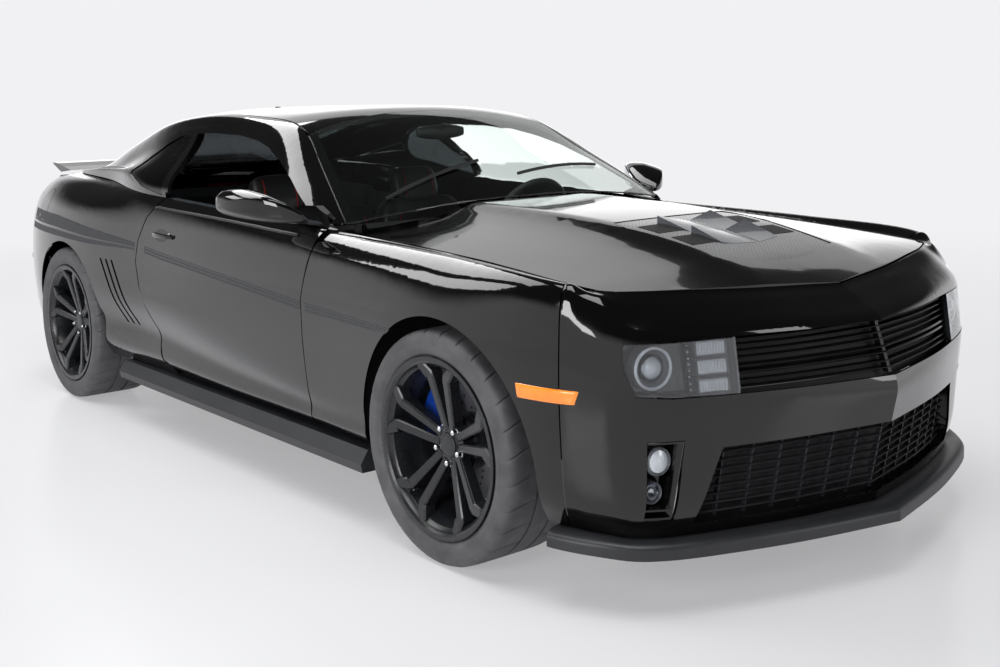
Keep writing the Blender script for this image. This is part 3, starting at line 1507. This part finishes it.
@dataclass
class DoorTrim:
    """What sits on one door: the handle with its cup, the ring of the lock and the belt seal."""

    side: Side
    cup_at: tuple[float, float] = (-400, 838)
    cup_half: tuple[float, float] = (62, 26)
    bar_span: tuple[float, float] = (-462, -288)
    bar_height: float = 839.0
    bar_section: tuple = ((-4, -9), (1, -8), (3.5, -3), (3.5, 4), (1, 9), (-4, 9))
    lock_at: tuple[float, float] = (-330, 838)
    seal_span: tuple[float, float] = (-512, 640)
    seal_line: float = 868.0
    seal_section: tuple = ((-6, -2), (6, -2), (6, 3), (2, 7), (-3, 7), (-6, 3))

    @property
    def body(self) -> str:
        """Return the door that carries it."""
        return "door_" + self.side.word

    def handle(self, skin: Skin) -> None:
        """Build the cup, the bar over it and the lock's ring.

        Args:
            skin: the door's panel.
        """
        hand = self.side.value
        cup = Mesh()
        rows = []
        for k in range(25):
            angle = math.tau * k / 24
            row = []
            for share in (0.02, 0.5, 0.8, 1.0):
                x = self.cup_at[0] + self.cup_half[0] * share * math.cos(angle)
                z = self.cup_at[1] + self.cup_half[1] * share * math.sin(angle)
                row.append(skin.from_side(x, z, hand) + Vector((0, hand * 0.3, 0)))
            rows.append(row)
        cup.grid(rows)
        cup.piece("handle_cup_" + self.side.word, GLOSS_PLASTIC, self.body, "satin_black_trim")
        bar = Mesh()
        rings = []
        for k in range(13):
            x = between(self.bar_span[0], self.bar_span[1], k / 12)
            lift = 5 + 19 * math.sin(math.pi * k / 12) ** 0.45
            spot = skin.from_side(x, self.bar_height, hand)
            rings.append([spot + Vector((0, hand * (lift + a), b)) for a, b in self.bar_section])
        bar.loft(rings)
        bar.piece("handle_bar_" + self.side.word, PAINT, self.body, "gloss_black_paint", crease=50)
        ring = Mesh()
        spot = skin.from_side(self.lock_at[0], self.lock_at[1], hand)
        ring.turned([(0.4, 10), (1.6, 11), (1.6, 13), (0.4, 14)], tuple(spot), (0, hand, 0), 28)
        ring.piece("lock_ring_" + self.side.word, CHROME, self.body, "brake_iron")

    def seal(self, skin: Skin) -> None:
        """Run the seal along the foot of the door's window.

        Args:
            skin: the door's panel.
        """
        hand = self.side.value
        made = Mesh()
        rings = []
        for k in range(41):
            x = between(self.seal_span[0], self.seal_span[1], k / 40)
            spot = skin.hit((x, hand * self.seal_line, 1300), (0, 0, -1))
            if spot is None:
                continue
            rings.append([spot + Vector((0, hand * a, b)) for a, b in self.seal_section])
        if len(rings) > 3:
            made.loft(rings)
            made.piece("belt_seal_" + self.side.word, SEAL, self.body, "satin_black_trim", crease=60)

    def build(self) -> None:
        """Build it on its door."""
        skin = Skin("door_panel_" + self.side.word)
        self.handle(skin)
        self.seal(skin)


@dataclass
class Wipers:
    """Two arms with blades at the foot of the windshield."""

    pivots: tuple = ((752, -575), (752, 40))
    tips: tuple = ((652, -75), (640, 560))
    section: tuple = ((-4, -7), (4, -7), (4, 3), (0, 5), (-4, 3))
    clear: float = 9.0

    def build(self) -> None:
        """Lay both on the glass."""
        glass = Skin("windshield")
        made = Mesh()
        for (x0, y0), (x1, y1) in zip(self.pivots, self.tips):
            path = []
            for k in range(15):
                x, y = between(x0, x1, k / 14), between(y0, y1, k / 14)
                spot = glass.from_above(x, y)
                if spot:
                    path.append(spot + Vector((2, 0, self.clear)))
            if len(path) > 3:
                made.bar(path, self.section, (0, 0, 1))
        made.piece("wipers", SEAL, "body_shell", "satin_black_trim", crease=50)


@dataclass
class RoofFin:
    """The low antenna fin at the back of the roof."""

    rear: float = -1000.0
    front: float = -900.0
    height: float = 17.0
    half_width: float = 9.0
    section: tuple = ((-1, 0), (-0.75, 0.45), (-0.2, 0.98), (0.2, 0.98), (0.75, 0.45), (1, 0))

    def build(self) -> None:
        """Build it on the roof."""
        roof = Skin("roof_panel")
        rings = []
        for k in range(9):
            share = k / 8
            x = between(self.rear, self.front, share)
            spot = roof.from_above(x, 0)
            tall = self.height * (1 - share) ** 0.7 + 1
            half = self.half_width * (1 - 0.75 * abs(share - 0.4))
            rings.append([spot + Vector((0, half * a, tall * b - 1)) for a, b in self.section])
        made = Mesh()
        made.loft(rings)
        made.piece("roof_fin", PAINT, "body_shell", "gloss_black_paint", crease=60)


@dataclass
class FuelDoor:
    """The round filler lid's shut line on the right rear quarter."""

    centre: tuple[float, float] = (-1715, 905)
    radius: float = 66.0
    half_gap: float = 1.3

    def build(self) -> None:
        """Draw the shut line as a thin dark ring."""
        skin = Skin("quarter_panels")
        rows = []
        for k in range(49):
            angle = math.tau * k / 48
            row = []
            for radius in (self.radius - self.half_gap, self.radius + self.half_gap):
                spot = skin.from_side(self.centre[0] + radius * math.cos(angle),
                                      self.centre[1] + radius * math.sin(angle))
                if spot is None:
                    return
                row.append(spot + Vector((0, -0.35, 0)))
            rows.append(row)
        made = Mesh()
        made.grid(rows)
        made.piece("fuel_door_line", SEAL, "body_shell", "satin_black_trim")


# Cabin

def leaning(spot: Point, degrees: float) -> Matrix:
    """Stand a pad at a spot, turned about the car's cross axis.

    Args:
        spot: where its middle goes.
        degrees: how far it turns.

    Returns:
        The placement.
    """
    return Matrix.Translation(spot) @ Matrix.Rotation(math.radians(degrees), 4, "Y")


@dataclass
class Seat:
    """A seat of sewn hide over foam: cushion, back with bolsters, headrest and red seams."""

    name: str
    middle: float
    hip: float = -205.0
    back_lean: float = 17.0
    width: float = 480.0
    fill: float = 0.85
    seam_at: float = 0.62
    seam_reach: float = 0.82
    thread: tuple = ((-1.6, -1), (1.6, -1), (1.6, 1.6), (-1.6, 1.6))
    cushion_at: tuple[float, float] = (60, 320)
    cushion_rise: float = 4.0
    cushion_half: tuple[float, float] = (78, 262)
    back_foot: float = 390.0
    back_half: tuple[float, float] = (62, 300)
    headrest_half: Point = (44, 122, 88)

    def pad(self, label: str, half: Point, place: Matrix, dish: float, power: float = 0.35) -> None:
        """Add a crowned pad, hollowed along its middle.

        Args:
            label: its name.
            half: half its size along depth, width and height.
            place: where it goes.
            dish: how far the front sinks at the middle.
            power: how square its corners are.
        """
        made = Mesh()
        rings = []
        steps, around = 22, 36
        for i in range(steps + 1):
            v = -math.pi / 2 + math.pi * i / steps
            cv, sv = abs(math.cos(v)) ** power, abs(math.sin(v)) ** power * (1 if v > 0 else -1)
            ring = []
            for k in range(around):
                u = math.tau * k / around
                cu = abs(math.cos(u)) ** power * (1 if math.cos(u) > 0 else -1)
                su = abs(math.sin(u)) ** power * (1 if math.sin(u) > 0 else -1)
                x, y, z = half[0] * cv * cu, half[1] * cv * su, half[2] * sv
                across = y / half[1]
                if x > 0:
                    x -= dish * (1 - min(1.0, abs(across) / self.seam_at) ** 4) * cv
                    x -= 3.0 * math.exp(-((abs(across) - self.seam_at) / 0.03) ** 2)
                ring.append(place @ Vector((x, y, z)))
            rings.append(ring)
        made.loft(rings)
        item = made.piece("%s_%s" % (self.name, label), LEATHER, "body_shell", "black_leather", crease=70)
        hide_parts("seats")
        seam = Mesh()
        for hand in (-1, 1):
            path = []
            for k in range(15):
                v = between(-self.seam_reach, self.seam_reach, k / 14)
                depth = half[0] * math.cos(v) ** power - 2.0
                path.append(place @ Vector((depth, hand * half[1] * self.seam_at, half[2] * math.sin(v))))
            seam.bar(path, self.thread, tuple(place.to_3x3() @ Vector((1, 0, 0))))
        seam.piece("%s_%s_seams" % (self.name, label), RED_THREAD, "body_shell", "black_leather")

    def build(self) -> None:
        """Build cushion, back and headrest."""
        cushion = leaning((self.cushion_at[0], self.middle, self.cushion_at[1]), self.cushion_rise - 90)
        half = self.cushion_half
        self.pad("cushion", (half[0], self.width / 2 - 12, half[1]), cushion, 26)
        back = leaning((self.hip, self.middle, self.back_foot), -self.back_lean)
        half = self.back_half
        self.pad("back", (half[0], self.width / 2 - 8, half[1]), back @ Matrix.Translation((0, 0, 250)), 30)
        self.pad("headrest", self.headrest_half, back @ Matrix.Translation((8, 0, 606)), 6, 0.55)


@dataclass
class RearSeat:
    """The rear bench, as one cushion and one back on each side."""

    middle: float = 330.0
    cushion_at: tuple[float, float] = (-715, 380)
    cushion_rise: float = 6.0
    cushion_half: Point = (60, 205, 170)
    back_at: tuple[float, float] = (-905, 640)
    back_lean: float = 26.0
    back_half: Point = (46, 205, 215)

    def build(self) -> None:
        """Build both places."""
        for side in Side:
            y = side.value * self.middle
            seat = Seat("rear_seat_" + side.word, y)
            cushion = leaning((self.cushion_at[0], y, self.cushion_at[1]), self.cushion_rise - 90)
            seat.pad("cushion", self.cushion_half, cushion, 24)
            back = leaning((self.back_at[0], y, self.back_at[1]), -self.back_lean)
            seat.pad("back", self.back_half, back, 20)


@dataclass
class InnerMirror:
    """The inside mirror behind the windshield's top."""

    at: tuple[float, float] = (322, 1236)
    half: Point = (12, 118, 30)
    stem: tuple = ((334, 0, 1250), (350, 0, 1262), (368, 0, 1266))
    stem_section: tuple = ((-9, -9), (9, -9), (9, 9), (-9, 9))

    def build(self) -> None:
        """Hang it."""
        made = Mesh()
        rings = []
        for k in range(13):
            share = k / 12
            y = between(-self.half[1], self.half[1], share)
            fade = math.sin(math.pi * (0.06 + 0.88 * share)) ** 0.35
            ring = []
            for n in range(16):
                angle = math.tau * n / 16
                x = self.at[0] + self.half[0] * math.cos(angle) * fade
                ring.append(Vector((x, y, self.at[1] + self.half[2] * math.sin(angle) * fade)))
            rings.append(ring)
        made.loft(rings)
        made.bar([Vector(spot) for spot in self.stem], self.stem_section, (0, 1, 0))
        made.piece("inner_mirror", SATIN_PLASTIC, "body_shell", "soft_black_trim", crease=60)


# Tail

@dataclass
class Tail:
    """The blank plate with its screws, and bright tips round the exhausts."""

    plate_half: float = 152.0
    plate_heights: tuple = (545, 600, 650, 697)
    plate_face: float = -2404.0
    screw_at: Point = (-2406, 89, 620)
    screw: tuple = ((0, 7), (2, 7), (4, 4), (4.5, 0.01))
    tip_at: Point = (-2372, 520, 235)
    tip: tuple = ((-30, 45.5), (12, 46.5), (15, 45), (15, 41), (-30, 40.6))

    def build(self) -> None:
        """Build them."""
        bumper = Skin("rear_bumper")
        plate, screws, tips = Mesh(), Mesh(), Mesh()
        rows = []
        for i in range(13):
            y = between(-self.plate_half, self.plate_half, i / 12)
            row = []
            for z in self.plate_heights:
                spot = bumper.from_rear(y, z)
                row.append(Vector((min(spot.x, self.plate_face) - 2.0, y, z)))
            rows.append(row)
        plate.sheet(rows, lambda p: p + Vector((1.6, 0, 0)))
        plate.piece("blank_plate", PLATE, "body_shell", "satin_black_trim", bevel=0.5)
        for hand in (-1, 1):
            x, y, z = self.screw_at
            screws.turned(self.screw, (x, hand * y, z), (-1, 0, 0), 20)
            x, y, z = self.tip_at
            tips.turned(self.tip, (x, hand * y, z), (-1, 0, 0), 56)
        screws.piece("plate_screws", CHROME, "body_shell", "brake_iron")
        tips.piece("exhaust_tips", CHROME, "body_shell", "exhaust_steel")


# Stage

@dataclass(frozen=True)
class Softbox:
    """A rectangular soft light, in metres and watts."""

    name: str
    at: Point
    look: Point
    wide: float
    tall: float
    power: float

    def hang(self) -> None:
        """Hang it so that it faces its point."""
        lamp = bpy.data.lights.new(self.name, "AREA")
        lamp.shape = "RECTANGLE"
        lamp.size = self.wide
        lamp.size_y = self.tall
        lamp.energy = self.power
        item = bpy.data.objects.new(self.name, lamp)
        bpy.context.scene.collection.objects.link(item)
        item.location = self.at
        item.rotation_euler = (Vector(self.look) - Vector(self.at)).to_track_quat("-Z", "Y").to_euler()


@dataclass
class Studio:
    """Pale sweep, soft boxes and the camera."""

    eye: Point = (4.351, -3.074, 1.368)
    yaw: float = 142.27
    pitch: float = -4.77
    roll: float = -1.25
    focal_px: float = 1244.6
    centre_px: tuple[float, float] = (450.0, 203.5)
    picture: tuple[int, int] = (1000, 667)
    room_level: float = 0.05
    floor_lift: float = 0.4
    wall_top: tuple[float, float] = (0.12, 0.34)
    backdrop: str = "#f1f1f3"
    floor_half: float = 40.0
    floor_fade: tuple[float, float] = (2.6, 9.0)
    lights: tuple = (
        Softbox("overhead", (-3.4, -0.9, 5.0), (-2.4, 0, 0), 8.0, 2.4, 260),
        Softbox("back_wall", (-7.0, 7.5, 3.9), (0.5, 0, 0.9), 14.0, 7.0, 215),
        Softbox("shoulder", (-4.4, -4.6, 4.4), (0.6, -0.6, 0.6), 2.6, 1.5, 60),
        Softbox("ceiling", (2.5, -1.5, 6.5), (1.0, 0, 0), 4.0, 4.0, 250),
        Softbox("flank", (3.5, -6.5, 2.6), (0.5, 0, 0.4), 3.0, 2.0, 210),
        Softbox("nose", (7.5, 2.5, 2.6), (2.0, 0, 0.6), 1.6, 3.0, 60),
    )

    def camera(self) -> None:
        """Stand where the photographer stood."""
        yaw, pitch, roll = [math.radians(a) for a in (self.yaw, self.pitch, self.roll)]
        ahead = Vector((math.cos(pitch) * math.cos(yaw), math.cos(pitch) * math.sin(yaw), math.sin(pitch)))
        right = ahead.cross(Vector((0, 0, 1))).normalized()
        up = right.cross(ahead)
        c, s = math.cos(roll), math.sin(roll)
        right, up = right * c + up * s, up * c - right * s
        lens = bpy.data.cameras.new("camera")
        lens.sensor_width = 36.0
        lens.lens = self.focal_px * lens.sensor_width / self.picture[0]
        lens.shift_x = (self.picture[0] / 2 - self.centre_px[0]) / self.picture[0]
        lens.shift_y = -(self.picture[1] / 2 - self.centre_px[1]) / self.picture[0]
        item = bpy.data.objects.new("camera", lens)
        bpy.context.scene.collection.objects.link(item)
        item.matrix_world = Matrix((
            (right.x, up.x, -ahead.x, self.eye[0]), (right.y, up.y, -ahead.y, self.eye[1]),
            (right.z, up.z, -ahead.z, self.eye[2]), (0, 0, 0, 1)))
        bpy.context.scene.camera = item

    def world(self) -> None:
        """Make the room: pale walls, and above them a dark ceiling that shows in reflections alone."""
        world = bpy.data.worlds.new("studio")
        bpy.context.scene.world = world
        world.use_nodes = True
        tree = world.node_tree
        tree.nodes.clear()
        path = add_node(tree, "ShaderNodeLightPath")
        shown = add_node(tree, "ShaderNodeBackground", {"Color": linear(self.backdrop), "Strength": 1.0})
        room = add_node(tree, "ShaderNodeBackground",
                        {"Color": linear("#b9bbc2"), "Strength": self.room_level})
        way = add_node(tree, "ShaderNodeTexCoord").outputs["Generated"]
        height = add_node(tree, "ShaderNodeSeparateXYZ", None, {"Vector": way})
        walls = add_node(tree, "ShaderNodeMapRange", {
            "interpolation_type": "SMOOTHSTEP", "From Min": self.wall_top[0], "From Max": self.wall_top[1],
            "To Min": 1.0, "To Max": self.room_level}, {"Value": height.outputs["Z"]})
        mirrored = add_node(tree, "ShaderNodeBackground", {"Color": linear(self.backdrop)},
                            {"Strength": walls.outputs["Result"]})
        bounced = add_node(tree, "ShaderNodeMath", {"operation": "ADD", "use_clamp": True},
                           {0: path.outputs["Is Glossy Ray"], 1: path.outputs["Is Transmission Ray"]})
        around = add_node(tree, "ShaderNodeMixShader", None, {
            0: bounced.outputs[0], 1: room.outputs[0], 2: mirrored.outputs[0]})
        mix = add_node(tree, "ShaderNodeMixShader", None, {
            0: path.outputs["Is Camera Ray"], 1: around.outputs[0], 2: shown.outputs[0]})
        add_node(tree, "ShaderNodeOutputWorld", None, {"Surface": mix.outputs[0]})

    def floor(self) -> None:
        """Lay the pale floor, lifted towards white for the eye, for metal and for glass."""
        made = bpy.data.meshes.new("floor")
        half = self.floor_half
        made.from_pydata([(-half, -half, 0), (half, -half, 0), (half, half, 0), (-half, half, 0)], [],
                         [(0, 1, 2, 3)])
        item = bpy.data.objects.new("floor", made)
        bpy.context.scene.collection.objects.link(item)
        paint = bpy.data.materials.new("painted_studio_floor")
        paint.use_nodes = True
        tree = paint.node_tree
        tree.nodes.clear()
        place = add_node(tree, "ShaderNodeTexCoord").outputs["Object"]
        patches = add_node(tree, "ShaderNodeTexNoise", {"Scale": 0.4}, {"Vector": place}).outputs["Fac"]
        colour = add_node(tree, "ShaderNodeValToRGB", {
            "stops": [(0.3, linear("#e4e4e7")), (0.7, linear("#e9e9ec"))]}, {"Fac": patches})
        body = add_node(tree, "ShaderNodeBsdfPrincipled", {"Roughness": 0.22},
                        {"Base Color": colour.outputs["Color"]})
        glow = add_node(tree, "ShaderNodeEmission", {"Color": linear(self.backdrop), "Strength": 1.0})
        path = add_node(tree, "ShaderNodeLightPath")
        away = add_node(tree, "ShaderNodeVectorMath", {"operation": "LENGTH"}, {0: place})
        near, far = self.floor_fade
        rise = add_node(tree, "ShaderNodeMapRange", {
            "interpolation_type": "SMOOTHSTEP", "From Min": near, "From Max": far, "To Min": self.floor_lift,
            "To Max": 1.0}, {"Value": away.outputs["Value"]})
        bounced = add_node(tree, "ShaderNodeMath", {"operation": "ADD", "use_clamp": True},
                           {0: path.outputs["Is Glossy Ray"], 1: path.outputs["Is Transmission Ray"]})
        seen = add_node(tree, "ShaderNodeMath", {"operation": "ADD", "use_clamp": True},
                        {0: path.outputs["Is Camera Ray"], 1: bounced.outputs[0]})
        share = add_node(tree, "ShaderNodeMath", {"operation": "MULTIPLY"},
                         {0: seen.outputs[0], 1: rise.outputs[0]})
        mix = add_node(tree, "ShaderNodeMixShader", None, {
            0: share.outputs[0], 1: body.outputs[0], 2: glow.outputs[0]})
        add_node(tree, "ShaderNodeOutputMaterial", None, {"Surface": mix.outputs[0]})
        made.materials.append(paint)

    def build(self) -> None:
        """Set the whole stage."""
        self.camera()
        self.world()
        self.floor()
        for light in self.lights:
            light.hang()
        bpy.context.scene.view_settings.view_transform = "Standard"


def wheels() -> list[Wheel]:
    """Find the four wheels with their places.

    Returns:
        The wheels.
    """
    found = []
    for place in ("front_right", "front_left", "rear_right", "rear_left"):
        low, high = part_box("tyre_" + place)
        centre = (low + high) * 500
        hand = Side[place.split("_")[1].upper()].value
        radius = (high.x - low.x) * 500
        width = (high.y - low.y) * 1000
        found.append(Wheel(place, hand, Vector((round(centre.x), 0, round(radius))), round(radius), width,
                           abs(centre.y)))
    return found


def main() -> None:
    """Build the car's looks, then its stage."""
    BodyPanels().dress()
    SideStripes().build()
    for wheel in wheels():
        wheel.build()
    surface = FrontSkin(Skin("front_bumper"))
    Grilles(surface).build()
    for side in Side:
        Headlamp(side, surface).build()
        FogPod(side, surface).build()
        Mirror(side).build()
        DoorTrim(side).build()
        Seat("front_seat_" + side.word, side.value * FRONT_SEAT_MIDDLE).build()
    SideMarkers().build()
    HoodVent().build()
    Wipers().build()
    RoofFin().build()
    FuelDoor().build()
    RearSeat().build()
    InnerMirror().build()
    Tail().build()
    Studio().build()


if __name__ == "__main__":
    logging.basicConfig(level=logging.INFO, format="%(message)s")
    main()
